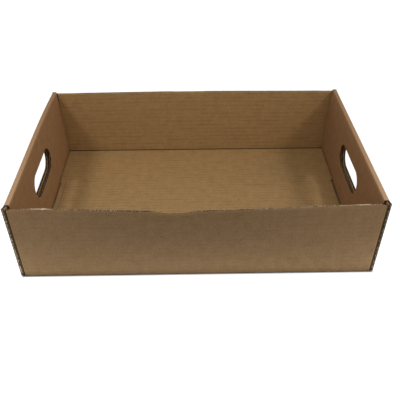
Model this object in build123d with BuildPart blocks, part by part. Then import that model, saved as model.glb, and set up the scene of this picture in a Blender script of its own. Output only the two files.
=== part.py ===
from build123d import *
import os

# A die-cut tray folded up from one sheet of corrugated cardboard.
#
# The sheet's middle is the base. The front and back walls are one board thick, and a
# flap at each of their ends folds in beside the end wall. Each end panel stands up
# outside its two flaps, rolls over their tops and comes down again inside them, where
# a tab on its foot drops into a slot in the base and locks the whole end. A hand hole
# goes through both layers of each end wall.
#
# Millimetres. +X along the tray, +Y to its back, +Z up. The origin is on the underside
# of the base, at its middle.

# Overall
length = 400.0              # over the end walls
depth = 260.0               # over the feet of the front and back walls
height = 100.0              # to the top of the rolled end walls

# Board and folds
board = 2.7                 # thickness of the corrugated board
ply_gap = 0.1               # between the layers of an end wall
fold_inside = 0.4           # radius on the inside of a creased fold
fold_outside = 1.8          # and on its outside, where the crease has crushed the board
fold_flat = 1.0             # flat board between a fold and the next panel

# Front and back walls
wall_drop = 2.4             # their cut tops, below the rolled ends
front_bow = 7.0             # how far the front wall's top leans out at its fullest
back_bow = 2.5              # the same at the back
bow_place = -20.0           # where along the length both lean out most
dip_width = 46.0            # finger-worn dip in the front wall's top edge
dip_depth = 3.0
dip_place = -25.0           # middle of the dip along the length

# Rolled end walls
roll_setback = 5.0          # the roll and inner panel, in from the outer panel's edges
panel_lift = 0.3            # foot of the inner panel, above the base
ear_foot = 0.6              # lowest corners of the outer panel
ear_gap = 0.3               # from those corners to the base's fold

# Hand holes
hole_length = 84.0
hole_height = 31.5
hole_middle = 56.8          # above the underside
hole_shift = -4.5           # along Y

# Corner flaps
flap_hole_gap = 5.5         # free end of a flap, to the nearer end of the hand hole
flap_drop = 2.6             # top of a flap, below the top of the wall it hangs from
flap_lift = 1.5             # foot of a flap, above the base
flap_taper = 5.0            # narrowing of its free end, top and bottom
corner_foot = 1.0           # lowest point of the folds between the flaps and the walls

# Tabs and their slots
tab_length = 87.0
tab_foot = 0.4              # end of the tab, above the underside
slot_end_gap = 1.2          # each end of a tab, in its slot
slot_back_gap = 0.3         # behind the tab
slot_front_gap = 1.6        # in front of it
slit_width = 0.8            # relief slit at each end of a slot
slit_length = 2.0           # how far it runs in from the slot

# Faces and folds that several panels share
fold_span = board + fold_inside + fold_flat
end_face = length / 2
side_face = depth / 2
flap_face = end_face - board - ply_gap
inner_panel_back = flap_face - board - ply_gap
inner_panel_face = inner_panel_back - board
wall_top = height - wall_drop
wall_half = flap_face - fold_span
roll_width = depth - 2 * roll_setback
panel_foot = board + panel_lift
flap_foot = board + flap_lift
flap_head = wall_top - flap_drop
flap_tip = hole_length / 2 + abs(hole_shift) + flap_hole_gap
slot_half = tab_length / 2 + slot_end_gap
slot_face = inner_panel_face - slot_front_gap
slot_back = inner_panel_back + slot_back_gap


with BuildPart() as tray:
    # The base: wide between the end folds, and long between the side folds. Each slot
    # for a tab has a relief slit at both of its ends.
    with BuildSketch(Plane.XY):
        Rectangle(2 * (end_face - fold_span), roll_width)
        Rectangle(2 * wall_half, 2 * (side_face - fold_span))
        for end in (-1, 1):
            with Locations((end * (slot_face + slot_back) / 2, 0)):
                Rectangle(slot_back - slot_face, 2 * slot_half, mode=Mode.SUBTRACT)
            for side in (-1, 1):
                slit_x = end * (slot_face - slit_length / 2)
                slit_y = side * (slot_half - slit_width / 2)
                with Locations((slit_x, slit_y)):
                    Rectangle(slit_length, slit_width, mode=Mode.SUBTRACT)
    extrude(amount=board)

    # An end, in section: up from the base, over the roll and down to the panel's foot.
    with BuildSketch(Plane.XZ):
        with BuildLine():
            outside = FilletPolyline(
                (end_face - fold_span, 0),
                (end_face, 0),
                (end_face, height),
                (inner_panel_face, height),
                (inner_panel_face, panel_foot),
                radius=fold_outside,
            )
            inside = FilletPolyline(
                (end_face - fold_span, board),
                (end_face - board, board),
                (end_face - board, height - board),
                (inner_panel_back, height - board),
                (inner_panel_back, panel_foot),
                radius=fold_inside,
            )
            Line(outside @ 0, inside @ 0)
            Line(outside @ 1, inside @ 1)
        make_face()
    extrude(amount=roll_width / 2, both=True)

    # The outer panel's two edges, which stand beyond the roll to cover the side walls.
    with BuildSketch(Plane.YZ.offset(end_face)):
        for side in (-1, 1):
            Polygon(
                (side * roll_width / 2, fold_outside),
                (side * (roll_width / 2 + ear_gap), fold_outside),
                (side * (roll_width / 2 + ear_gap), ear_foot),
                (side * side_face, ear_foot),
                (side * side_face, height - fold_outside),
                (side * roll_width / 2, height - fold_outside),
                align=None,
            )
    extrude(amount=-board)

    # The tab on the foot of the inner panel.
    with BuildSketch(Plane.YZ.offset(inner_panel_face)):
        with Locations((0, (panel_foot + tab_foot) / 2)):
            Rectangle(tab_length, panel_foot - tab_foot)
    extrude(amount=board)

    # The hand hole, through the outer and the inner panel.
    with BuildSketch(Plane.YZ.offset(inner_panel_face)):
        with Locations((hole_shift, hole_middle)):
            SlotOverall(hole_length, hole_height)
    extrude(amount=end_face - inner_panel_face, mode=Mode.SUBTRACT)

    # The other end is the same, the other way round.
    mirror(about=Plane.YZ)

    # The front and back walls, each with its fold, its lean and its two corner flaps.
    for side, bow in ((-1, front_bow), (1, back_bow)):
        outer_y = side * side_face
        inner_y = side * (side_face - board)

        with BuildSketch(Plane.YZ):
            with BuildLine():
                outside = FilletPolyline(
                    (side * (side_face - fold_span), 0),
                    (outer_y, 0),
                    (outer_y, fold_span),
                    radius=fold_outside,
                )
                inside = FilletPolyline(
                    (side * (side_face - fold_span), board),
                    (inner_y, board),
                    (inner_y, fold_span),
                    radius=fold_inside,
                )
                Line(outside @ 0, inside @ 0)
                Line(outside @ 1, inside @ 1)
            make_face()
        extrude(amount=wall_half, both=True)

        # The wall is straight at its foot and leans out at its top.
        for level, lean in ((fold_span, 0.0), (wall_top, side * bow)):
            with BuildSketch(Plane.XY.offset(level)):
                with BuildLine():
                    outside = Spline(
                        (-wall_half, outer_y),
                        (bow_place, outer_y + lean),
                        (wall_half, outer_y),
                        tangents=((1, 0), (1, 0)),
                    )
                    inside = Spline(
                        (-wall_half, inner_y),
                        (bow_place, inner_y + lean),
                        (wall_half, inner_y),
                        tangents=((1, 0), (1, 0)),
                    )
                    Line(outside @ 0, inside @ 0)
                    Line(outside @ 1, inside @ 1)
                make_face()
        loft(ruled=True)

        for end in (-1, 1):
            # The upright fold at the corner.
            with BuildSketch(Plane.XY.offset(corner_foot)):
                with BuildLine():
                    outside = FilletPolyline(
                        (end * wall_half, outer_y),
                        (end * flap_face, outer_y),
                        (end * flap_face, side * (side_face - fold_span)),
                        radius=fold_outside,
                    )
                    inside = FilletPolyline(
                        (end * wall_half, inner_y),
                        (end * (flap_face - board), inner_y),
                        (end * (flap_face - board), side * (side_face - fold_span)),
                        radius=fold_inside,
                    )
                    Line(outside @ 0, inside @ 0)
                    Line(outside @ 1, inside @ 1)
                make_face()
            extrude(amount=flap_head - corner_foot)

            # The flap, which narrows towards its free end.
            with BuildSketch(Plane.YZ.offset(end * flap_face)):
                Polygon(
                    (side * (side_face - fold_span), flap_foot),
                    (side * (side_face - fold_span), flap_head),
                    (side * flap_tip, flap_head - flap_taper),
                    (side * flap_tip, flap_foot + flap_taper),
                    align=None,
                )
            extrude(amount=-end * board)

    # The finger-worn dip in the front wall's top edge.
    with BuildSketch(Plane.XZ.offset(side_face - 2 * board)):
        with BuildLine():
            dip = ThreePointArc(
                (dip_place - dip_width / 2, wall_top),
                (dip_place, wall_top - dip_depth),
                (dip_place + dip_width / 2, wall_top),
            )
            Polyline(
                dip @ 1,
                dip @ 1 + (0, dip_depth),
                dip @ 0 + (0, dip_depth),
                dip @ 0,
            )
        make_face()
    extrude(amount=3 * board + front_bow, mode=Mode.SUBTRACT)

tray.part.label = "tray"

os.makedirs("parts", exist_ok=True)
export_step(tray.part, "parts/tray.step")
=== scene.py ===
import math

import bpy
import numpy as np
from mathutils import Matrix, Vector


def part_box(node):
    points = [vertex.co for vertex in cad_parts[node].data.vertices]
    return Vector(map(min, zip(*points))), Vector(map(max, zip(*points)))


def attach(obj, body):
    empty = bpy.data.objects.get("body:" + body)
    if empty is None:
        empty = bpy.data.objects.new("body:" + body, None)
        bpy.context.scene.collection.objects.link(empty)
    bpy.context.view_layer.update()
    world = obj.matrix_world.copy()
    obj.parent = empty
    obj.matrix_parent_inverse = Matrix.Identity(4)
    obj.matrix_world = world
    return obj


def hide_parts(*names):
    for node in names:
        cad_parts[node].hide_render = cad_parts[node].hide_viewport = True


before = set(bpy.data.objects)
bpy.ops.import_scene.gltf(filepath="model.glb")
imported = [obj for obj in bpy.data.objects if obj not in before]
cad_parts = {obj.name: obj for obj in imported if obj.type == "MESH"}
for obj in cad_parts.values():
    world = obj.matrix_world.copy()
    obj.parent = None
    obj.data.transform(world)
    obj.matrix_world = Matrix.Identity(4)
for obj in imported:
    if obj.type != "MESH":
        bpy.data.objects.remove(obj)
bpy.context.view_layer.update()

# ----------------------------------------
# The board: B flute corrugated board, two kraft papers glued to a waved one. The tray is
# a single blank of it, die-cut, creased and folded up without glue, so one folded sheet
# is built first, panel by panel, and its three papers are laid on it afterwards.

MM = 0.001
board = 2.7                # thickness of the board, all sizes here in millimetres
flute_pitch = 6.2
flute_steps = 6            # mesh lines to one flute
ply_gap = 0.1              # between two layers of board that lie together
fold_inside = 0.7
fold_outside = 0.9
fold_flat = 0.7
fold_span = board + fold_inside + fold_flat
fold_pinch = 0.9           # depth of the score pressed in along the inside of a fold
fold_steps = 5             # mesh rows round one fold
fold_run = 5.0             # paper that one fold takes up, on the flat blank
fold_ease = 0.5            # and paper next to it, on each side
front_bow = 7.0            # how far the front wall's top stands out past its foot

tray_low, tray_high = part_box("tray")
end_face = tray_high.x / MM
side_face = -tray_low.y / MM - front_bow
height = tray_high.z / MM

patches = []


def lines(first, last, gap, kept=()):
    """Mesh lines from first to last about gap apart, with every kept place among them."""
    kept = np.array(sorted({first, last, *kept}), float)
    even = np.linspace(first, last, int(round((last - first) / gap)) + 1)
    clear = np.abs(even[:, None] - kept[None, :]).min(1) > 0.45 * gap
    return np.sort(np.concatenate([even[clear], kept]))


def rounded(corner, before, after, radius):
    """Points round a fold at corner, from the run that comes before to the one after."""
    turn = np.linspace(0, math.pi / 2, fold_steps + 1)[:, None]
    before, after = np.array(before, float), np.array(after, float)
    centre = np.array(corner, float) - before * radius + after * radius
    return centre - after * radius * np.cos(turn) + before * radius * np.sin(turn)


def folded(outer_corner, inner_corner, before, after, outside=fold_outside,
           inside=fold_inside):
    """Both faces of the board round one fold, the inner one pinched where it is scored."""
    pinch = np.sin(np.linspace(0, math.pi, fold_steps + 1))[:, None] * fold_pinch
    out = (np.array(before, float) - np.array(after, float)) / math.sqrt(2)
    return (rounded(outer_corner, before, after, outside),
            rounded(inner_corner, before, after, inside) + out * pinch)


def net(shape, *parts):
    """One net of points from its x, y and z, each a number, a row, a column or a net."""
    return np.stack([np.broadcast_to(p, shape) for p in parts], -1)


def add_patch(shape, outer, inner, blank, crease, kept=None):
    """Keeps one rectangular net of points for the sheet: its outer and inner face, its
    place on the flat blank, its crease value (painted shade inside, a paler tone outside), and
    which of its cells are board."""
    if kept is None:
        kept = np.ones((shape[0] - 1, shape[1] - 1), bool)
    patches.append((net(shape, *outer), net(shape, *inner), net(shape, *blank, 0.0),
                    np.broadcast_to(crease, shape), kept))

# ----------------------------------------
# The base: one flat layer of the board, with a slot die-cut near each end for the tab that
# locks that end. Its mesh lines run on up the walls and the ends, so they keep to the
# places of the hand holes, the tabs, the worn dip and the gaping edges there.

roll_setback = 5.0         # the roll and inner panel, in from the outer panel's edges
hole_length = 84.0
hole_height = 31.5
hole_shift = -4.5          # middle of the hand holes, along the depth of the tray
tab_length = 87.0
slot_end_gap = 1.2         # each end of a tab, in its slot
slot_back_gap = 0.3        # behind the tab
slot_front_gap = 1.6       # in front of it
slit_width = 0.8           # relief slit at each end of a slot
slit_length = 2.0
strip_line = -182.8        # crease along the greyer strip at the left foot
strip_crease = 0.6         # half its width
dip_width = 46.0           # worn dip in the front wall's top edge
dip_floor = 19.0
dip_place = -24.0
front_gaps = ((-118, -108), (-104, -86), (-72, -50), (7, 17), (44, 68))
line_gap = 11.0            # between mesh lines along the walls

flap_face = end_face - board - ply_gap
inner_panel_back = flap_face - board - ply_gap
inner_panel_face = inner_panel_back - board
wall_half = flap_face - fold_span
roll_half = side_face - roll_setback
slot_half = tab_length / 2 + slot_end_gap
slot_face = inner_panel_face - slot_front_gap
slot_back = inner_panel_back + slot_back_gap
hole_round = hole_height / 2
hole_flat = hole_length / 2 - hole_round
base_reach = end_face - fold_span
base_half = side_face - fold_span

x_kept = [-slot_face, -wall_half, slot_face, wall_half]
x_kept += [slit_length - slot_face, slot_face - slit_length]
x_kept += [place for gap in front_gaps for place in gap]
x_kept += [strip_line - strip_crease, strip_line, strip_line + strip_crease]
x_kept += [dip_place + s * w for s in (-1, 1)
           for w in (dip_floor / 2, (dip_floor + dip_width) / 4, dip_width / 2)]
wall_lines = lines(-wall_half, wall_half, line_gap, x_kept)
base_x = np.concatenate([[-base_reach, -slot_back], wall_lines, [slot_back, base_reach]])

# Towards the tip of a hand hole the lines stand closer, to follow its round.
round_turns = np.radians([0, 20, 38, 53, 65, 74, 81, 86, 90])
round_places = hole_flat + hole_round * np.sin(round_turns)
y_kept = [hole_shift + s * p for s in (-1, 1) for p in round_places]
for side in (-1, 1):
    y_kept += [side * tab_length / 2, side * slot_half, side * (slot_half - slit_width)]
y_lines = lines(-roll_half, roll_half, flute_pitch / flute_steps, y_kept)
base_y = np.concatenate([[-base_half], y_lines, [base_half]])

x, y = base_x[:, None], base_y[None, :]
shape = (len(base_x), len(base_y))
middle_x = np.abs((x[1:] + x[:-1]) / 2)
middle_y = np.abs((y[:, 1:] + y[:, :-1]) / 2)
corner = (middle_x > wall_half) & (middle_y > roll_half)
slot = (middle_x > slot_face) & (middle_x < slot_back) & (middle_y < slot_half)
slit = (middle_x > slot_face - slit_length) & (middle_x < slot_face)
slit = slit & (middle_y < slot_half) & (middle_y > slot_half - slit_width)
add_patch(shape, (x, y, 0.0), (x, y, board), (x, y), 0.0, ~(corner | slot | slit))

# ----------------------------------------
# The ends: each is one run of the board, up from the base, over the roll and down inside,
# where its tab drops into the slot. A hand hole is cut through both layers, and the outer
# panel's two upright edges stand bare past the ends of the roll, like ears.

roll_flare = 3.0           # how much further the roll itself reaches at the back
roll_flare_run = 20.0      # over how much of its length
roll_outside = 1.3         # the two folds of the roll are pressed sharp
roll_nose = 1.0
roll_inside = 0.1
roll_squeeze = 2.8         # at its top the roll is only two boards thick
roll_top_crease = 0.6
roll_top_run = (2.0, 4.0)  # on the blank: its top, and its second fold
panel_shift = {-1: (-0.8, 2.9), 1: (0.1, 0.9)}  # outward lean: at the foot, added at the top
end_bulge = {-1: 2.0, 1: 0.0}  # how far the top of each end stands out, behind its middle
bulge_scale = 27 / 4       # brings the highest place of that curve to one
bend_over = 90.0           # height at which the inner panel bends over the flaps
foot_gap = 0.3             # under the inner panel
tab_foot = 0.4             # under the tab
hole_middle = 56.0
hole_press = -0.3          # outward push round the hole: it stands in a little there
press_half = (50.0, 42.0)  # where that dies out, along and up from the hole's middle
ear_lines = (1.6, 3.3)     # mesh lines across an ear, from the end of the roll
ear_foot = 0.6             # lowest point of an ear
ear_gap = 0.3              # between an ear's foot and the end's own fold beside it
ear_splay = {-1: 1.6, 1: 1.1}  # how far its edge stands off the fold of the wall beside it
splay_start = 1.0
ear_core = 0.5             # the pale crushed middle of its cut edge, of the edge's width
ear_torn = {-1: 0.5, 1: 0.25}

panel_low, panel_high = fold_span, height - fold_span
panel_foot = board + foot_gap
off_round = np.clip(np.abs(y_lines - hole_shift) - hole_flat, 0, hole_round)
hole_rise = np.sqrt(hole_round ** 2 - off_round ** 2)
hole_low, hole_high = hole_middle - hole_rise, hole_middle + hole_rise
low_shares = np.array([0, 0.12, 0.35, 0.62, 0.86, 0.96, 1.0])     # mesh rows below the hole
high_shares = np.array([0, 0.05, 0.2, 0.5, 0.8, 1.0])             # and above it
up, down, outward, inward = (0, 1), (0, -1), (1, 0), (-1, 0)
end_rows = []          # outer x and z, inner x and z, flat place, crease, pressed, within


def end_row(outer_x, outer_z, inner_x, inner_z, flat, crease=0.0, pressed=0.0, within=0.0):
    """One mesh row along an end."""
    columns = len(y_lines)
    end_rows.append([np.broadcast_to(v, columns) for v in
                     (outer_x, outer_z, inner_x, inner_z, flat, crease, pressed, within)])


def end_fold(outer_corner, inner_corner, before, after, flat, within=0.0, **radii):
    """The rows of one fold along an end."""
    both = folded(outer_corner, inner_corner, before, after, **radii)
    for step, (o, i) in enumerate(zip(*both)):
        end_row(*o, *i, flat + fold_run * step / fold_steps, 1.0, 0.0, within)


def inner_lean(end, z):
    """How far the inner panel leans outwards at a height, up to its squeeze in the roll."""
    foot, top = panel_shift[end]
    over = np.clip((z - bend_over) / (height - roll_nose - bend_over), 0, 1)
    return foot + top * z / height + (roll_squeeze - foot - top) * over


def bulge(end, y, z):
    """How far an end stands out at a place, most a third of the way from the back."""
    share = np.clip((y + side_face) / (2 * side_face), 0, 1)
    along = bulge_scale * share ** 2 * (1 - share)
    return end_bulge[end] * along * np.clip(z / height, 0, 1) ** 1.5


end_row(base_reach, 0.0, base_reach, board, base_reach)
end_fold((end_face, 0), (end_face - board, board), outward, up, base_reach + fold_ease)
flat_foot = base_reach + fold_run + 2 * fold_ease
for share in low_shares:
    z = panel_low + (hole_low - panel_low) * share
    end_row(end_face, z, end_face - board, z, flat_foot + z - panel_low)
hole_rows = [len(end_rows) - 1]
for share in high_shares:
    z = hole_high + (panel_high - hole_high) * share
    end_row(end_face, z, end_face - board, z, flat_foot + z - panel_low)
flat_roll = flat_foot + panel_high - panel_low
end_fold((end_face, height), (end_face - board, height - board), up, inward,
         flat_roll + fold_ease, outside=roll_outside, inside=roll_inside)
roll_middle = (end_face + inner_panel_face + roll_squeeze) / 2
flat_top, flat_nose = (flat_roll + fold_run + run for run in roll_top_run)
end_row(roll_middle, height, roll_middle, height - board, flat_top, roll_top_crease)
end_fold((inner_panel_face, height), (inner_panel_back, height - board), inward, down,
         flat_nose, within=1.0, outside=roll_nose, inside=roll_inside)
flat_down = flat_nose + fold_run + fold_ease
for share in high_shares[::-1]:
    z = hole_high + (panel_high - hole_high) * share
    end_row(inner_panel_face, z, inner_panel_back, z, flat_down + panel_high - z, 0, 1, 1)
hole_rows.append(len(end_rows) - 1)
for share in low_shares[::-1]:
    z = panel_foot + (hole_low - panel_foot) * share
    end_row(inner_panel_face, z, inner_panel_back, z, flat_down + panel_high - z, 0, 1, 1)

(outer_x, outer_z, inner_x, inner_z, flat_x, crease, pressed,
 within) = np.array(end_rows).transpose(1, 0, 2)
press_y = np.clip(np.abs(y_lines - hole_shift) / press_half[0], 0, 1)
press_z = np.clip(np.abs(outer_z - hole_middle) / press_half[1], 0, 1)
press_y, press_z = (np.cos(p * math.pi / 2) ** 2 for p in (press_y, press_z))
press = hole_press * pressed * press_y * press_z
reaching = np.clip((y_lines - roll_half + roll_flare_run) / roll_flare_run, 0, 1) ** 2
roll_y = y_lines + reaching * roll_flare * (outer_z > panel_high + 0.1)
end_kept = np.ones((len(end_rows) - 1, len(y_lines) - 1), bool)
end_kept[hole_rows] = False

tab_y = y_lines[np.abs(y_lines) <= tab_length / 2 + 1e-6]
tab_z = np.array([panel_foot, panel_foot / 2, tab_foot])[:, None]
ear_z = panel_low + (hole_middle - panel_low) * low_shares
ear_z = np.concatenate([ear_z, hole_middle + (panel_high - hole_middle) * high_shares[1:]])
edge_strips = []           # outer and inner points of a cut edge, and how torn it is

for end in (-1, 1):
    moved = press + within * inner_lean(end, outer_z) + bulge(end, y_lines, outer_z)
    add_patch(outer_x.shape, (end * (outer_x + moved), roll_y, outer_z),
              (end * (inner_x + moved), roll_y, inner_z), (end * flat_x, y_lines), crease,
              end_kept)

    # The tab on the foot of the inner panel.
    moved = inner_lean(end, tab_z) + bulge(end, tab_y, tab_z)
    add_patch(moved.shape, (end * (inner_panel_face + moved), tab_y, tab_z),
              (end * (inner_panel_back + moved), tab_y, tab_z),
              (end * (flat_down + panel_high - tab_z), tab_y), 0.0)

    # The two ears: their height beside the panel, their parted foot, and their head, which
    # is whole in front and cut away beside the roll's flare at the back.
    for side in (-1, 1):
        inner_line, outer_line = (roll_half + line for line in ear_lines)
        whole = side * np.array([roll_half, inner_line, outer_line, side_face])
        parted = side * np.array([roll_half + ear_gap, inner_line, outer_line, side_face])
        ear_head = whole if side < 0 else whole[2:]
        for ear_y, z in ((whole, ear_z), (parted, np.array([ear_foot, panel_low])),
                         (ear_head, np.array([panel_high, height - fold_outside]))):
            off_roll = (np.abs(ear_y) - roll_half - splay_start) / (roll_setback - splay_start)
            splay = np.clip(off_roll, 0, 1) ** 1.5 * ear_splay[end]
            ear_rows = z[:, None]
            moved = bulge(end, ear_y, ear_rows) + splay
            # An ear's crease value grows with its splay: it paints shade on the ear's inner face,
            # in the gap beside the wall's fold, and turns its outer face paler.
            add_patch(moved.shape, (end * (end_face + moved), ear_y, ear_rows),
                      (end * (end_face - board + moved), ear_y, ear_rows),
                      (end * (flat_foot + ear_rows - panel_low), ear_y),
                      np.minimum(1, 4 * splay / ear_splay[end]))
            if ear_y is not parted:
                x = end * (end_face + moved[:, -1])
                core = ear_core * board / 2
                edge_strips.append((
                    net(z.shape, x - end * (board / 2 - core), side_face * side, z),
                    net(z.shape, x - end * (board / 2 + core), side_face * side, z),
                    np.full(len(z), ear_torn[end])))

# ----------------------------------------
# The front and back walls: one layer of the board each, creased up from the base and bowed
# outwards at the top, where the cut edge is pressed shut but for some gaping stretches. A
# corner flap at each end folds in between the two layers of the ends and is held there.

wall_drop = 2.4            # top of the walls, below the top of the rolls
back_bow = 2.5
bow_place = -20.0          # where along a wall its bow is greatest
dip_depth = 3.0
fold_lead = 0.2            # flat board kept just before an upright fold
shut_depth = 2.6           # how far down the top edge is pressed shut
shut_share = 0.74
gap_shut = 0.4             # how shut it still is in the gaping stretches
back_gaps = ((-170, -34), (8, 176))
front_torn = ((-171, -162, 0.9), (-161, -153, 2.6), (-148, -84, 0.3), (60, 88, 0.35),
              (105, 130, 0.5), (140, 160, 0.7), (164, 166, 1.6), (171, 177, 1.9),
              (179, 190, 0.5))         # torn stretches, and how torn each is
back_torn = ((-190, -172, 0.8), (-36, 8, 0.6))
torn_elsewhere = 0.12
flap_hole_gap = 5.5        # free end of a flap, to the nearer end of the hand hole
flap_drop = 2.6            # top of a flap, below the top of its wall
flap_lift = 1.5            # foot of a flap, above the base
flap_taper = 5.0           # narrowing of its free end, at the top and at the foot
flap_shares = np.array([0.03, 0.2, 0.4, 0.6, 0.8, 1.0])           # mesh columns of a flap
flap_tuck = 0.5            # a flap lies halfway between its two panels
corner_foot = 0.3          # lowest point of the upright folds

wall_top = height - wall_drop
flap_foot = board + flap_lift
flap_head = wall_top - flap_drop
flap_tip = hole_length / 2 + abs(hole_shift) + flap_hole_gap
flap_y = base_half + (flap_tip - base_half) * flap_shares
bend_share = np.linspace(0, 1, fold_steps + 4)[1:]

# A wing is one upright fold and its flap, column by column, at the right of either wall.
bend_outer, bend_inner = folded((flap_face, side_face),
                                (flap_face - board, side_face - board), outward, down)
bend_outer = np.vstack([(bend_outer[0, 0] - fold_lead, side_face), bend_outer,
                        (flap_face, base_half)])
bend_inner = np.vstack([(flap_face - board - fold_inside - fold_lead, side_face - board),
                        bend_inner, (flap_face - board, base_half)])
flap_outer = np.column_stack([np.full(len(flap_y), flap_face), flap_y])
flap_inner = np.column_stack([np.full(len(flap_y), flap_face - board), flap_y])
flat_fold = fold_run + 2 * fold_ease
wing = {
    "outer": np.vstack([bend_outer, flap_outer]),
    "inner": np.vstack([bend_inner, flap_inner]),
    "foot": np.concatenate([np.full(len(bend_share), fold_span),
                            flap_foot + flap_taper * flap_shares]),
    "head": np.concatenate([wall_top - flap_drop * bend_share,
                            flap_head - flap_taper * flap_shares]),
    "flat": np.concatenate([wall_half + flat_fold * bend_share,
                            wall_half + flat_fold + base_half - flap_y]),
    "crease": np.concatenate([[0], np.ones(len(bend_share) - 2), np.zeros(len(flap_y) + 1)]),
    "held": np.concatenate([np.zeros(len(bend_share) - 1), [0.5], np.ones(len(flap_y))]),
}
wing_count = len(wing["foot"])


def across_wall(kind, middle, left=1.0):
    """A row along a whole wall: its left wing, its middle and its right wing."""
    return np.concatenate([left * wing[kind][::-1], middle, wing[kind]])


for side, bow, gaps in ((-1, front_bow, front_gaps), (1, back_bow, back_gaps)):
    # The bow: two curves from the wall's ends, which meet smoothly near its greatest place.
    reach = (bow_place + wall_half, wall_half - bow_place)
    ratio = reach[1] / reach[0]
    slope = 1.5 * (ratio - 1 / ratio) / (reach[0] + reach[1])
    left_part = wall_lines < bow_place
    span = np.where(left_part, reach[0], reach[1])
    share = np.where(left_part, wall_lines + wall_half, wall_half - wall_lines) / span
    tangent = np.where(left_part, slope, -slope) * span
    lean = 3 * share ** 2 - 2 * share ** 3 + tangent * (share ** 3 - share ** 2)
    none = np.zeros(wing_count)
    lean = np.concatenate([none, side * bow * lean, none])
    dip = np.zeros(len(wall_lines))
    if side < 0:
        edge = (dip_width / 2 - np.abs(wall_lines - dip_place)) / ((dip_width - dip_floor) / 2)
        edge = np.clip(edge, 0, 1)
        dip = (3 * edge ** 2 - 2 * edge ** 3) * dip_depth

    flat_wall = np.full(len(wall_lines), side_face)
    outer_u = np.concatenate([-wing["outer"][::-1, 0], wall_lines, wing["outer"][:, 0]])
    inner_u = np.concatenate([-wing["inner"][::-1, 0], wall_lines, wing["inner"][:, 0]])
    outer_v = side * np.concatenate([wing["outer"][::-1, 1], flat_wall, wing["outer"][:, 1]])
    inner_v = side * np.concatenate([wing["inner"][::-1, 1], flat_wall - board,
                                     wing["inner"][:, 1]])
    foot = across_wall("foot", np.full(len(wall_lines), fold_span))
    head = across_wall("head", wall_top - dip)
    flat_u = across_wall("flat", wall_lines, -1.0)
    crease = across_wall("crease", np.zeros(len(wall_lines)))

    rise = lines(0, wall_top - fold_span, flute_pitch / flute_steps) / (wall_top - fold_span)
    z = foot + (head - foot) * rise[:, None]
    out = lean * (z - fold_span) / (wall_top - fold_span)
    shape = z.shape
    flat_v = side * (base_half + fold_run + z - fold_span)
    # The flaps follow the ends, pressed between their two panels.
    tucked = np.zeros(shape)
    for end, columns in ((-1, slice(0, wing_count)), (1, slice(-wing_count, None))):
        held = wing["held"][::-1] if end < 0 else wing["held"]
        pressed_out = flap_tuck * np.clip(inner_lean(end, z[:, columns]), 0, None)
        pressed_out += bulge(end, outer_v[columns], z[:, columns])
        tucked[:, columns] = end * held * pressed_out
    # Along the top the board is pressed shut, so its two liners nearly meet.
    shut = np.ones(len(wall_lines))
    for first, last in gaps:
        shut[(wall_lines > first - 1) & (wall_lines < last + 1)] = gap_shut
    shut = np.concatenate([none, shut, none])
    high = np.clip((z - head + shut_depth) / shut_depth, 0, 1) * (z > head - 2 * shut_depth)
    taken = shut * shut_share * high
    wall_outer = np.stack([outer_u + tucked, outer_v + out, z])
    wall_inner = np.stack([inner_u + tucked, inner_v + out, z])
    wall_middle = (wall_outer + wall_inner) / 2
    wall_outer += (wall_middle - wall_outer) * taken
    wall_inner += (wall_middle - wall_inner) * taken
    add_patch(shape, wall_outer, wall_inner, (flat_u, flat_v), crease)
    torn_there = np.full(len(wall_lines), torn_elsewhere)
    for first, last, much in front_torn if side < 0 else back_torn:
        torn_there[(wall_lines > first - 1) & (wall_lines < last + 1)] = much
    top_edge = slice(wing_count, -wing_count)
    edge_strips.append((wall_outer[:, -1, top_edge].T, wall_inner[:, -1, top_edge].T,
                        torn_there))

    # The fold along the wall's foot.
    outer_f, inner_f = folded((side_face, 0), (side_face - board, board), outward, up)
    outer_f = np.vstack([(base_half, 0), outer_f, (side_face, fold_span)])
    inner_f = np.vstack([(base_half, board), inner_f, (side_face - board, fold_span)])
    fold_v = base_half + np.linspace(0, fold_run, len(outer_f))
    fold_crease = np.concatenate([[0], np.ones(len(outer_f) - 2), [0]])
    add_patch((len(outer_f), len(wall_lines)),
              (wall_lines, side * outer_f[:, :1], outer_f[:, 1:]),
              (wall_lines, side * inner_f[:, :1], inner_f[:, 1:]),
              (wall_lines, side * fold_v[:, None]), fold_crease[:, None])

    # The foot of each upright fold, below the wall's own fold.
    skirt_z = np.array([corner_foot, fold_span])[:, None]
    skirt_outer = np.vstack([(wall_half, side_face), bend_outer])
    skirt_inner = np.vstack([(wall_half, side_face - board), bend_inner])
    skirt_flat = np.concatenate([[wall_half], wing["flat"][:len(bend_outer)]])
    for end in (-1, 1):
        add_patch((2, len(skirt_outer)),
                  (end * skirt_outer[:, 0], side * skirt_outer[:, 1], skirt_z),
                  (end * skirt_inner[:, 0], side * skirt_inner[:, 1], skirt_z),
                  (end * skirt_flat, side * (base_half + fold_run + skirt_z - fold_span)), 1.0)

# ----------------------------------------
# The folded sheet: all the panels as one, joined where they meet. Each point lies midway
# through the board and carries the way to the outer face, its place on the flat blank,
# and the marks for the paper's colour there: its crease value (painted shade inside, paler
# outside), the rolled panels, a painted highlight on the roll tops, and the greyer strip on the
# base.

joint = 0.01               # points closer than this are one
highlight_depth = 2.1            # the painted highlight on top of the roll, from this far down
highlight_fade = 0.6
roll_highlight_share = (1.0, -0.1)     # how strong that painted highlight is, in front and at the back (below 0: none)
strip_back = 52.0          # where the greyer strip ends, towards the back
strip_fade = 60.0
score_shade = 0.8       # how dark the painted shade of the crease along the strip is

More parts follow.
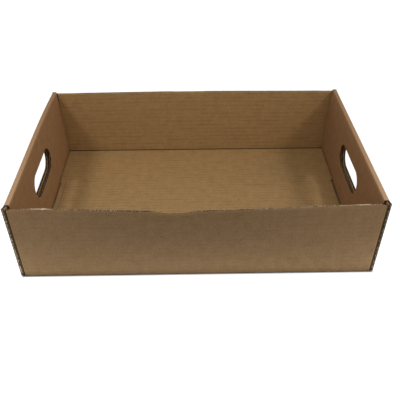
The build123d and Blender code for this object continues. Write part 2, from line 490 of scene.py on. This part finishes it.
outer, inner, flat, crease, cells, count = [], [], [], [], [], 0
for patch_outer, patch_inner, patch_flat, patch_crease, kept in patches:
    rows, columns = patch_outer.shape[:2]
    number = count + np.arange(rows * columns).reshape(rows, columns)
    around = np.stack([number[:-1, :-1], number[1:, :-1], number[1:, 1:], number[:-1, 1:]], -1)
    cells.append(around[kept])
    outer.append(patch_outer.reshape(-1, 3))
    inner.append(patch_inner.reshape(-1, 3))
    flat.append(patch_flat.reshape(-1, 3))
    crease.append(patch_crease.reshape(-1))
    count += rows * columns
outer, inner, flat = (np.concatenate(part) * MM for part in (outer, inner, flat))
crease, cells = np.concatenate(crease), np.concatenate(cells)
middle, half = (outer + inner) / 2, (outer - inner) / 2
_, single, joined = np.unique(np.round(middle / (joint * MM)).astype(int), axis=0,
                              return_index=True, return_inverse=True)
used, cells = np.unique(joined.reshape(-1)[cells], return_inverse=True)
cells = cells.reshape(-1, 4)
middle, half, flat, crease = (values[single][used] for values in (middle, half, flat, crease))
across = np.cross(middle[cells[:, 2]] - middle[cells[:, 0]],
                  middle[cells[:, 3]] - middle[cells[:, 1]])
turned = (across * half[cells].sum(1)).sum(1) < 0
cells[turned] = cells[turned][:, ::-1]

# The rolled panels are warmer in tone, and painted paler along the top as a painted highlight,
# most in front.
x, y, z = (middle / MM).T
out_x = np.abs(x) - np.where(x < 0, bulge(-1, y, z), bulge(1, y, z))
rolled = (np.abs(y) < side_face - 2.0) & (z > board + 0.2) & (out_x > inner_panel_face - 1.0)
rolled = rolled & ((out_x < end_face - board) | (z > height - 3.0))
roll_top_highlight = np.clip((z - (height - highlight_depth)) / highlight_fade, 0, 1)
roll_top_highlight = roll_top_highlight * (np.abs(x) > inner_panel_face)
roll_top_highlight = roll_top_highlight * np.clip(np.interp(y, (-side_face, side_face), roll_highlight_share), 0, 1)

# The greyer strip on the base, and the crease along it, drawn as a line of painted shade.
grey_strip = (z < board) & (x < strip_line - 0.1) & (x > -inner_panel_face)
grey_strip = grey_strip * np.clip((strip_back - y) / strip_fade, 0, 1)
scored = (z < board) & (np.abs(x - strip_line) < 0.1) & (y < strip_back)
crease = np.maximum(crease, score_shade * scored)

sheet = bpy.data.meshes.new("folded_sheet")
sheet.from_pydata(middle.tolist(), [], cells.tolist())
carried = {"half": half, "blank": flat, "rolled": rolled, "roll_top_highlight": roll_top_highlight,
           "grey_strip": grey_strip, "crease": crease}
for name, values in carried.items():
    kind, field = ("FLOAT_VECTOR", "vector") if values.ndim == 2 else ("FLOAT", "value")
    attribute = sheet.attributes.new(name, kind, "POINT")
    attribute.data.foreach_set(field, values.astype(np.float32).ravel())
sheet.update()

# ----------------------------------------
# The outside liner: the kraft paper on the outside of the board, which also shows on the
# rolled tops and on the inner end panels. Plain brown testliner, glued to the fluting.

def linear(colour):
    """A linear colour from an sRGB hex value."""
    parts = [int(colour[i:i + 2], 16) / 255 for i in (1, 3, 5)]
    return [p / 12.92 if p <= 0.04045 else ((p + 0.055) / 1.055) ** 2.4 for p in parts] + [1]


def add(tree, kind, inputs=None, **settings):
    """Adds a node with its settings. An input is a value, a socket to link, or another
    node, which then gives its first output in use."""
    node = tree.nodes.new(kind)
    for name, value in settings.items():
        setattr(node, name, value)
    for name, value in (inputs or {}).items():
        if isinstance(value, bpy.types.Node):
            value = next(socket for socket in value.outputs if socket.enabled)
        if isinstance(value, bpy.types.NodeSocket):
            tree.links.new(value, node.inputs[name])
        else:
            node.inputs[name].default_value = value
    return node


def paper(name):
    """A new material with its shader, ready for its nodes."""
    material = bpy.data.materials.new(name)
    material.use_nodes = True
    tree = material.node_tree
    return material, tree, tree.nodes["Principled BSDF"]


def kraft(name, pale, deep, shade, crease_light_and_shade, crease_mix, rolled_tint, lined):
    """Kraft liner, machine made from recycled pulp. It gives the eye matt brown paper with
    short fibres, clouds of lighter and darker pulp, a few dark specks, and the faint broken
    washboard that the flutes press into it, drawn as painted shade in its hollows. A fold
    turns to the crease colour by the given share: on the inside that is painted shade, and
    on the outside a paler tone, partly stretched paper and partly a painted highlight."""
    material, tree, shader = paper(name)
    place = add(tree, "ShaderNodeAttribute", attribute_name="blank").outputs["Vector"]
    fold, on_roll, top_highlight, painted_shade, strip_mask = (
        add(tree, "ShaderNodeAttribute", attribute_name=given_name).outputs["Fac"]
        for given_name in ("crease", "rolled", "roll_top_highlight", "painted_shade", "grey_strip"))

    # Clouds of pulp about 14 mm across, drawn out along the machine direction.
    spread = add(tree, "ShaderNodeMapping", {"Vector": place, "Scale": (1.6, 1.0, 1.0)})
    cloud = add(tree, "ShaderNodeTexNoise", {
        "Vector": spread, "Scale": 1 / 0.014, "Detail": 4.0, "Roughness": 0.62})
    # Tufts of fibre 3 mm long and 1.5 mm apart, coarser than real ones so that they show.
    along = add(tree, "ShaderNodeMapping", {"Vector": place, "Scale": (2.0, 1.0, 1.0)})
    fibre = add(tree, "ShaderNodeTexNoise", {
        "Vector": along, "Scale": 1 / 0.003, "Detail": 4.0, "Roughness": 0.8})
    # Washboard: one dark line to a flute, broken along its length, painted shade in the hollows
    # that the flutes press in, with a faint painted highlight between them.
    flute = add(tree, "ShaderNodeSeparateXYZ", {0: place})
    turn = add(tree, "ShaderNodeMath", {
        0: flute.outputs["Y"], 1: 2 * math.pi / (flute_pitch * MM)}, operation="MULTIPLY")
    wave = add(tree, "ShaderNodeMath", {0: turn}, operation="SINE")
    broken = add(tree, "ShaderNodeMapping", {"Vector": place, "Scale": (0.3, 1.0, 1.0)})
    gaps = add(tree, "ShaderNodeTexNoise", {
        "Vector": broken, "Scale": 1 / 0.008, "Detail": 2.0})
    strength = add(tree, "ShaderNodeMapRange", {
        "Value": gaps, "From Min": 0.33, "From Max": 0.7, "To Min": 0.0, "To Max": 1.0})
    board_line = add(tree, "ShaderNodeMath", {0: wave, 1: strength}, operation="MULTIPLY")

    tone = add(tree, "ShaderNodeMix", {
        "Factor": cloud, "A": linear(deep), "B": linear(pale)}, data_type="RGBA")
    fleck = add(tree, "ShaderNodeMapRange", {
        "Value": fibre, "From Min": 0.3, "From Max": 0.7, "To Min": 0.8, "To Max": 1.2})
    ribs = add(tree, "ShaderNodeMapRange", {
        "Value": board_line, "From Min": -1.0, "From Max": 0.0, "To Min": 1 - lined,
        "To Max": 1 + 0.15 * lined}, interpolation_type="SMOOTHSTEP")
    both = add(tree, "ShaderNodeMath", {0: fleck, 1: ribs}, operation="MULTIPLY")
    worked = add(tree, "ShaderNodeMix", {
        "Factor": 1.0, "A": tone, "B": both}, data_type="RGBA", blend_type="MULTIPLY")
    # Dark specks of recycled fibre, about 1 mm across.
    speck = add(tree, "ShaderNodeTexVoronoi", {
        "Vector": place, "Scale": 1 / 0.009, "Randomness": 1.0})
    spot = add(tree, "ShaderNodeMapRange", {
        "Value": speck, "From Min": 0.04, "From Max": 0.085, "To Min": 0.85, "To Max": 0.0})
    specked = add(tree, "ShaderNodeMix", {
        "Factor": spot, "A": worked, "B": linear(shade)}, data_type="RGBA")
    # A crease turns the outside paler, partly stretched paper and partly a painted highlight, and
    # the pinched inside dark with painted shade.
    crease_share = add(tree, "ShaderNodeMath", {0: fold, 1: crease_mix}, operation="MULTIPLY")
    colour = add(tree, "ShaderNodeMix", {
        "Factor": crease_share, "A": specked, "B": linear(crease_light_and_shade)}, data_type="RGBA")
    # The strip: greyer, with pale streaks about 3.5 mm apart along the wall.
    drawn = add(tree, "ShaderNodeMapping", {"Vector": place, "Scale": (1.0, 0.12, 1.0)})
    streak = add(tree, "ShaderNodeTexNoise", {
        "Vector": drawn, "Scale": 1 / 0.0035, "Detail": 2.0})
    grey = add(tree, "ShaderNodeMix", {
        "Factor": streak, "A": linear("#6f6a4b"), "B": linear("#cdbf97")}, data_type="RGBA")
    strip_share = add(tree, "ShaderNodeMath", {0: strip_mask, 1: 0.4}, operation="MULTIPLY")
    grey_strip = add(tree, "ShaderNodeMix", {
        "Factor": strip_share, "A": colour, "B": grey}, data_type="RGBA")
    # The rolled panels' warmer tone, a painted highlight along the top of the roll, and painted
    # shade on the faces that lie inside the board.
    warmed = add(tree, "ShaderNodeMix", {
        "Factor": on_roll, "A": grey_strip, "B": linear(rolled_tint)}, data_type="RGBA",
        blend_type="MULTIPLY")
    highlighted = add(tree, "ShaderNodeMix", {
        "Factor": top_highlight, "A": warmed, "B": linear("#c8a077")}, data_type="RGBA")
    seen = add(tree, "ShaderNodeMix", {
        "Factor": painted_shade, "A": highlighted, "B": linear("#2b1e13")}, data_type="RGBA")
    tree.links.new(seen.outputs["Result"], shader.inputs["Base Color"])

    rough = add(tree, "ShaderNodeMapRange", {"Value": cloud, "To Min": 0.9, "To Max": 0.68})
    tree.links.new(rough.outputs[0], shader.inputs["Roughness"])
    shader.inputs["IOR"].default_value = 1.47
    relief = add(tree, "ShaderNodeBump", {
        "Height": fibre, "Strength": 0.35, "Distance": 0.06 * MM})
    tree.links.new(relief.outputs[0], shader.inputs["Normal"])
    return material


outside_kraft = kraft("kraft_outside_liner", "#a9875e", "#8c6c44", "#5d4329", "#b8966f", 0.35,
                      "#fff2ee", 0.07)


def cut_paper(name, deep, pale):
    """The die-cut edge of a paper: matt, with short torn fibres of uneven tone."""
    material, tree, shader = paper(name)
    place = add(tree, "ShaderNodeTexCoord").outputs["Object"]
    torn = add(tree, "ShaderNodeTexNoise", {
        "Vector": place, "Scale": 1 / 0.0016, "Detail": 4.0, "Roughness": 0.75})
    ramp = add(tree, "ShaderNodeValToRGB", {"Fac": torn})
    for element, position, colour in zip(ramp.color_ramp.elements, (0.36, 0.62), (deep, pale)):
        element.position, element.color = position, linear(colour)
    tree.links.new(ramp.outputs["Color"], shader.inputs["Base Color"])
    shader.inputs["Roughness"].default_value = 0.95
    return material


cut_edge = cut_paper("cut_liner_edge", "#2a1d12", "#7a5f40")


def geometry_tree(name, **sockets):
    """A Geometry Nodes tree with its named inputs, and what they give."""
    tree = bpy.data.node_groups.new(name, "GeometryNodeTree")
    for title, kind in {"Geometry": "Geometry", **sockets}.items():
        tree.interface.new_socket(title.replace("_", " "), in_out="INPUT",
                                  socket_type="NodeSocket" + kind)
    tree.interface.new_socket("Geometry", in_out="OUTPUT", socket_type="NodeSocketGeometry")
    return tree, add(tree, "NodeGroupInput").outputs


# The tree that lays one paper on the sheet, between two shares of the board's half
# thickness, and rolls it into waves of the flute's pitch.
layer, given = geometry_tree(
    "paper_layer", Lower_face="Float", Upper_face="Float", Wave_height="Float",
    Flute_pitch="Float", Crushed_share="Float", Seed="Int", Hidden_below="Float",
    Hidden_above="Float", Paper="Material", Cut_edge="Material")
half_way, blank = (add(layer, "GeometryNodeInputNamedAttribute", {"Name": title},
                       data_type="FLOAT_VECTOR").outputs["Attribute"]
                   for title in ("half", "blank"))
blank_y = add(layer, "ShaderNodeSeparateXYZ", {0: blank}).outputs["Y"]
flutes = add(layer, "ShaderNodeMath", {
    0: blank_y, 1: given["Flute pitch"]}, operation="DIVIDE")
turns = add(layer, "ShaderNodeMath", {0: flutes, 1: 2 * math.pi}, operation="MULTIPLY")
swing = add(layer, "ShaderNodeMath", {0: turns}, operation="SINE")
seeded = add(layer, "ShaderNodeVectorMath", {0: blank, 1: given["Seed"]}, operation="ADD")
dents = add(layer, "ShaderNodeTexNoise", {
    "Vector": seeded, "Scale": 1 / 0.02, "Detail": 1.0})
crush = add(layer, "ShaderNodeMath", {
    0: dents, 1: given["Crushed share"]}, operation="MULTIPLY")
stand = add(layer, "ShaderNodeMath", {0: 1.0, 1: crush}, operation="SUBTRACT")
tall = add(layer, "ShaderNodeMath", {
    0: stand, 1: given["Wave height"]}, operation="MULTIPLY")
level = add(layer, "ShaderNodeMath", {
    0: swing, 1: tall, 2: given["Lower face"]}, operation="MULTIPLY_ADD")
offset = add(layer, "ShaderNodeVectorMath", {
    0: half_way, "Scale": level}, operation="SCALE")
laid = add(layer, "GeometryNodeSetPosition", {
    "Geometry": given["Geometry"], "Offset": offset})
# Painted shade for the faces of a paper that lie inside the board, against the others: the inputs
# give how much on the laid face and on the raised one.
shade_painted_under = add(layer, "GeometryNodeStoreNamedAttribute", {
    "Geometry": laid, "Name": "painted_shade", "Value": given["Hidden below"]})
thick = add(layer, "ShaderNodeMath", {
    0: given["Upper face"], 1: given["Lower face"]}, operation="SUBTRACT")
rise = add(layer, "ShaderNodeVectorMath", {0: half_way, "Scale": thick}, operation="SCALE")
raised = add(layer, "GeometryNodeExtrudeMesh", {
    "Mesh": shade_painted_under, "Offset": rise, "Individual": False}, mode="FACES")
shade_painted_over = add(layer, "GeometryNodeStoreNamedAttribute", {
    "Geometry": raised, "Selection": raised.outputs["Top"], "Name": "painted_shade",
    "Value": given["Hidden above"]})
under = add(layer, "GeometryNodeFlipFaces", {"Mesh": shade_painted_under})
closed = add(layer, "GeometryNodeJoinGeometry")
layer.links.new(under.outputs[0], closed.inputs[0])
layer.links.new(shade_painted_over.outputs[0], closed.inputs[0])
welded = add(layer, "GeometryNodeMergeByDistance", {
    "Geometry": closed, "Distance": 0.002 * MM})
smooth = add(layer, "GeometryNodeSetShadeSmooth", {
    "Geometry": welded, "Shade Smooth": True})
crisp = add(layer, "GeometryNodeSetShadeSmooth", {
    "Geometry": smooth, "Selection": raised.outputs["Side"], "Shade Smooth": False})
real = add(layer, "GeometryNodeRealizeInstances", {"Geometry": crisp})
faced = add(layer, "GeometryNodeSetMaterial", {
    "Geometry": real, "Material": given["Paper"]})
edged = add(layer, "GeometryNodeSetMaterial", {
    "Geometry": faced, "Selection": raised.outputs["Side"], "Material": given["Cut edge"]})
add(layer, "NodeGroupOutput", {"Geometry": edged})


def shaped(name, mesh, tree, **inputs):
    """A plain mesh piece: the tree's result on a mesh, with its inputs set by identifier."""
    raw = bpy.data.objects.new(name + "_raw", mesh)
    bpy.context.scene.collection.objects.link(raw)
    modifier = raw.modifiers.new(tree.name, "NODES")
    modifier.node_group = tree
    sockets = {s.name: s.identifier for s in tree.interface.items_tree
               if s.in_out == "INPUT"}
    for title, value in inputs.items():
        modifier[sockets[title.replace("_", " ")]] = value
    bpy.context.view_layer.update()
    seen = raw.evaluated_get(bpy.context.evaluated_depsgraph_get())
    piece = bpy.data.objects.new(name, bpy.data.meshes.new_from_object(seen))
    bpy.context.scene.collection.objects.link(piece)
    bpy.data.objects.remove(raw)
    return piece


paper_share = 0.2          # a liner's thickness, of the board's half thickness
washboard = 0.03           # how far the flutes press through, of the same

liner_waves = dict(Wave_height=washboard, Flute_pitch=flute_pitch * MM, Crushed_share=0.5,
                   Seed=3, Cut_edge=cut_edge)

outside_liner = shaped("outside_liner", sheet, layer, Lower_face=1 - paper_share,
                       Upper_face=1.0, Hidden_below=1.0, Hidden_above=0.0,
                       Paper=outside_kraft, **liner_waves)
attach(outside_liner, "root")
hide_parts("tray")

# ----------------------------------------
# The inside liner: brown testliner on the inside of the board, glued to the fluting like
# the other. It shows on the base and on the front and back walls, a little yellower.

inside_kraft = kraft("kraft_inside_liner", "#be9864", "#9e7d4e", "#553c24", "#4a3420", 0.8,
                     "#ffffff", 0.2)
inside_liner = shaped("inside_liner", sheet, layer, Lower_face=-1.0,
                      Upper_face=paper_share - 1, Hidden_below=0.0, Hidden_above=1.0,
                      Paper=inside_kraft, **liner_waves)
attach(inside_liner, "root")
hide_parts("tray")

# ----------------------------------------
# The fluting: the waved paper glued between the liners, thinner and darker than they are; part of
# that dark is painted shade of the hollows inside the board.
# It shows in the cut edges, round the hand holes and along the ears most of all.

fluting_half = 0.1         # half the fluting's own thickness, of the board's half

# Fluting medium, made from waste paper: dull and mottled, and dark, partly its own tone and
# partly painted shade of the hollows inside the board. It is seen only from its edge and in the
# shade of the hand holes.
fluting_paper, tree, shader = paper("fluting_paper")
place = add(tree, "ShaderNodeAttribute", attribute_name="blank").outputs["Vector"]
pulp = add(tree, "ShaderNodeTexNoise", {
    "Vector": place, "Scale": 1 / 0.003, "Detail": 4.0, "Roughness": 0.7})
tone = add(tree, "ShaderNodeMix", {
    "Factor": pulp, "A": linear("#2e2116"), "B": linear("#4a3624")}, data_type="RGBA")
tree.links.new(tone.outputs["Result"], shader.inputs["Base Color"])
shader.inputs["Roughness"].default_value = 0.92
relief = add(tree, "ShaderNodeBump", {
    "Height": pulp, "Strength": 0.4, "Distance": 0.05 * MM})
tree.links.new(relief.outputs[0], shader.inputs["Normal"])

flute_edge = cut_paper("cut_fluting_edge", "#7d6243", "#c9ab80")
fluting = shaped("fluting", sheet, layer, Lower_face=-fluting_half, Upper_face=fluting_half,
                 Wave_height=0.7, Flute_pitch=flute_pitch * MM, Crushed_share=0.12, Seed=3,
                 Hidden_below=0.0, Hidden_above=0.0, Paper=fluting_paper, Cut_edge=flute_edge)
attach(fluting, "root")
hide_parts("tray")

# ----------------------------------------
# Torn fibres: small flakes of pale paper that stand along the cut edges, where the die
# crushed the board and handling has rubbed it. Tops of the walls and edges of the ends.

# Torn kraft paper: pale inside, because the torn pulp is loose and scatters the light.
torn_paper, tree, shader = paper("torn_paper_fibres")
place = add(tree, "ShaderNodeTexCoord").outputs["Object"]
lint = add(tree, "ShaderNodeTexNoise", {"Vector": place, "Scale": 1 / 0.004, "Detail": 3.0})
tone = add(tree, "ShaderNodeMix", {
    "Factor": lint, "A": linear("#9c7c54"), "B": linear("#f4e4c6")}, data_type="RGBA")
tree.links.new(tone.outputs["Result"], shader.inputs["Base Color"])
shader.inputs["Roughness"].default_value = 0.95

points, faces, torn = [], [], []
for edge_outer, edge_inner, torn_there in edge_strips:
    start, count = len(points), len(edge_outer)
    points += [*(edge_outer * MM).tolist(), *(edge_inner * MM).tolist()]
    torn += [*torn_there, *torn_there]
    faces += [(start + k, start + k + 1, start + count + k + 1, start + count + k)
              for k in range(count - 1)]
edges = bpy.data.meshes.new("cut_edges")
edges.from_pydata(points, [], faces)
edges.attributes.new("torn", "FLOAT", "POINT").data.foreach_set("value", torn)

# The tree that strews flakes over the cut edges: the more torn, the more flakes.
fibres, given = geometry_tree("torn_fibres", Most_flakes="Float", Flake_length="Float",
                              Flake_thickness="Float", Seed="Int", Paper="Material")
torn_share = add(fibres, "GeometryNodeInputNamedAttribute", {
    "Name": "torn"}, data_type="FLOAT").outputs["Attribute"]
many = add(fibres, "ShaderNodeMath", {
    0: torn_share, 1: given["Most flakes"]}, operation="MULTIPLY")
spread = add(fibres, "GeometryNodeDistributePointsOnFaces", {
    "Mesh": given["Geometry"], "Density": many, "Seed": given["Seed"]})
# A flake is a thin box, half as wide as it is long. It lies any way round, a little tipped.
width = add(fibres, "ShaderNodeMath", {
    0: given["Flake length"], 1: 0.45}, operation="MULTIPLY")
size = add(fibres, "ShaderNodeCombineXYZ", {
    "X": given["Flake length"], "Y": width, "Z": given["Flake thickness"]})
flake = add(fibres, "GeometryNodeMeshCube", {"Size": size})
tilt = add(fibres, "FunctionNodeRandomValue", {
    0: (-0.35, -0.35, -3.1), 1: (0.35, 0.35, 3.1), "Seed": given["Seed"]},
    data_type="FLOAT_VECTOR")
turned = add(fibres, "FunctionNodeRotateRotation", {
    "Rotation": spread.outputs["Rotation"], "Rotate By": tilt}, rotation_space="LOCAL")
grown = add(fibres, "FunctionNodeRandomValue", {
    2: 0.35, 3: 1.25, "Seed": given["Seed"]}, data_type="FLOAT")
# The more an edge is torn, the larger its flakes.
larger = add(fibres, "ShaderNodeMath", {
    0: torn_share, 1: 0.7, 2: 0.6}, operation="MULTIPLY_ADD")
scale = add(fibres, "ShaderNodeMath", {0: grown, 1: larger}, operation="MULTIPLY")
placed = add(fibres, "GeometryNodeInstanceOnPoints", {
    "Points": spread, "Instance": flake, "Rotation": turned, "Scale": scale})
real = add(fibres, "GeometryNodeRealizeInstances", {"Geometry": placed})
papered = add(fibres, "GeometryNodeSetMaterial", {
    "Geometry": real, "Material": given["Paper"]})
add(fibres, "NodeGroupOutput", {"Geometry": papered})

most_flakes = 4.0e6            # to a square metre of wholly torn edge
torn_fibres = shaped("torn_fibres", edges, fibres, Most_flakes=most_flakes,
                     Flake_length=1.1 * MM, Flake_thickness=0.12 * MM, Seed=5,
                     Paper=torn_paper)
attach(torn_fibres, "root")
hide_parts("tray")

# ----------------------------------------
# The floor: a plain pale surface under the tray. The camera sees the white top, and the
# light that the floor throws back on the tray comes from a card of its own beneath it.

backdrop_white = 0.88
painted_shadow_reach = 2.5 * MM         # how far the painted contact shadow along the tray's foot reaches


def ground(name, level, colour):
    """A wide level card of one plain colour."""
    reach = 4.0
    corners = [(-reach, -reach), (reach, -reach), (reach, reach), (-reach, reach)]
    mesh = bpy.data.meshes.new(name)
    mesh.from_pydata([(x, y, level) for x, y in corners], [], [(0, 1, 2, 3)])
    surface = bpy.data.objects.new(name, mesh)
    bpy.context.scene.collection.objects.link(surface)
    material, tree, shader = paper(name)
    shader.inputs["Base Color"].default_value = linear(colour)
    shader.inputs["Roughness"].default_value = 0.9
    mesh.materials.append(material)
    return surface, tree, shader


floor, tree, shader = ground("pale_floor", -0.4 * MM, "#a0a0a0")
# Evenly bright all round by its own glow, with painted shadow under the tray and along its foot.
place = add(tree, "ShaderNodeTexCoord").outputs["Object"]
spot = add(tree, "ShaderNodeSeparateXYZ", {0: place})
clear = []
for axis, half_size in (("X", end_face * MM), ("Y", side_face * MM)):
    size = add(tree, "ShaderNodeMath", {0: spot.outputs[axis]}, operation="ABSOLUTE")
    gap = add(tree, "ShaderNodeMath", {0: size, 1: half_size}, operation="SUBTRACT")
    clear.append(add(tree, "ShaderNodeMath", {0: gap, 1: 0.0}, operation="MAXIMUM"))
off_tray = add(tree, "ShaderNodeCombineXYZ", {"X": clear[0], "Y": clear[1]})
across_gap = add(tree, "ShaderNodeVectorMath", {0: off_tray}, operation="LENGTH")
glow_and_painted_shadow = add(tree, "ShaderNodeMapRange", {
    "Value": across_gap, "From Min": 0.0, "From Max": painted_shadow_reach, "To Min": 0.0,
    "To Max": backdrop_white}, interpolation_type="SMOOTHERSTEP")
tree.links.new(glow_and_painted_shadow.outputs[0], shader.inputs["Emission Strength"])
shader.inputs["Emission Color"].default_value = linear("#ffffff")
floor.visible_diffuse = floor.visible_glossy = floor.visible_shadow = False
card, _, _ = ground("bounce_card", -0.5 * MM, "#8c8c8c")
card.visible_camera = False

# ----------------------------------------
# Light: a small lamp above each end, large soft panels at the right, in front and behind,
# four low reflectors lying in front of the tray, and an even glow from all round.

glow_strength = 0.285


def lamp(name, place, aim, size, power):
    """An area light of a size, at a place, that faces its aim."""
    data = bpy.data.lights.new(name, "AREA")
    data.shape = "RECTANGLE"
    data.size, data.size_y = size
    data.energy = power
    made = bpy.data.objects.new(name, data)
    bpy.context.scene.collection.objects.link(made)
    made.location = place
    made.rotation_mode = "QUATERNION"
    made.rotation_quaternion = (Vector(aim) - Vector(place)).to_track_quat("-Z", "Y")
    return made


lamp("left_lamp", (-0.48, -0.24, 0.66), (0, 0, 0), (0.12, 0.12), 1.26)
lamp("right_lamp", (0.56, -0.24, 0.64), (0, 0, 0), (0.12, 0.12), 1.14)
soft = lamp("soft_panel", (1.8, 0, 1.2), (0, 0, 0.05), (1.2, 1.2), 7.3)
soft.data.color = (1.0, 0.93, 0.84)
lamp("front_panel", (0, -1.8, 1.3), (0, 0, 0.05), (1.2, 1.2), 2.1)
back_light = lamp("back_panel", (0, 1.8, 1.3), (0, 0, 0.05), (1.2, 1.2), 6.3)
back_light.data.color = (0.9, 0.95, 1.0)
# Each reflector lies face up on the floor, and the camera doesn't see it.
for name, x, y, size, power in (("left_reflector", -0.4, -0.235, (0.4, 0.2), 0.21),
                                ("middle_reflector", 0, -0.235, (0.4, 0.2), 0.04),
                                ("right_reflector", 0.4, -0.235, (0.4, 0.2), 0.21),
                                ("foot_reflector", 0, -0.155, (0.6, 0.04), 0.06)):
    reflector = lamp(name, (x, y, -0.2 * MM), (x, y, 1), size, power)
    reflector.visible_camera = False
world = bpy.data.worlds.new("studio")
bpy.context.scene.world = world
world.use_nodes = True
glow = world.node_tree.nodes["Background"].inputs
glow["Color"].default_value = linear("#ffffff")
# The backdrop looks as white as the floor, but lights the tray less.
seen = add(world.node_tree, "ShaderNodeLightPath").outputs["Is Camera Ray"]
strength = add(world.node_tree, "ShaderNodeMapRange", {
    "Value": seen, "To Min": glow_strength, "To Max": backdrop_white})
world.node_tree.links.new(strength.outputs[0], glow["Strength"])
bpy.context.scene.view_settings.view_transform = "Standard"

# ----------------------------------------
# The camera: in front of the tray and above it, looking down into it at about 39 degrees,
# with a normal lens of 47 mm.

camera_place = (-0.0034, -0.5461, 0.4367)
pitch, yaw, roll = (math.radians(a) for a in (39.34, 0.83, -0.21))
camera_data = bpy.data.cameras.new("camera")
camera_data.sensor_width = 36.0
camera_data.lens = 46.908
camera_data.shift_y = 0.02275
camera = bpy.data.objects.new("camera", camera_data)
bpy.context.scene.collection.objects.link(camera)
look = np.array([[1, 0, 0], [0, -math.sin(pitch), -math.cos(pitch)],
                 [0, math.cos(pitch), -math.sin(pitch)]])
turn_z = np.array(Matrix.Rotation(yaw, 3, "Z"))
turn_roll = np.array(Matrix.Rotation(roll, 3, "Z"))
right, low, ahead = turn_roll @ look @ turn_z
axes = zip(right, -low, -ahead, camera_place)
camera.matrix_world = Matrix([*axes, (0, 0, 0, 1)])
bpy.context.scene.camera = camera
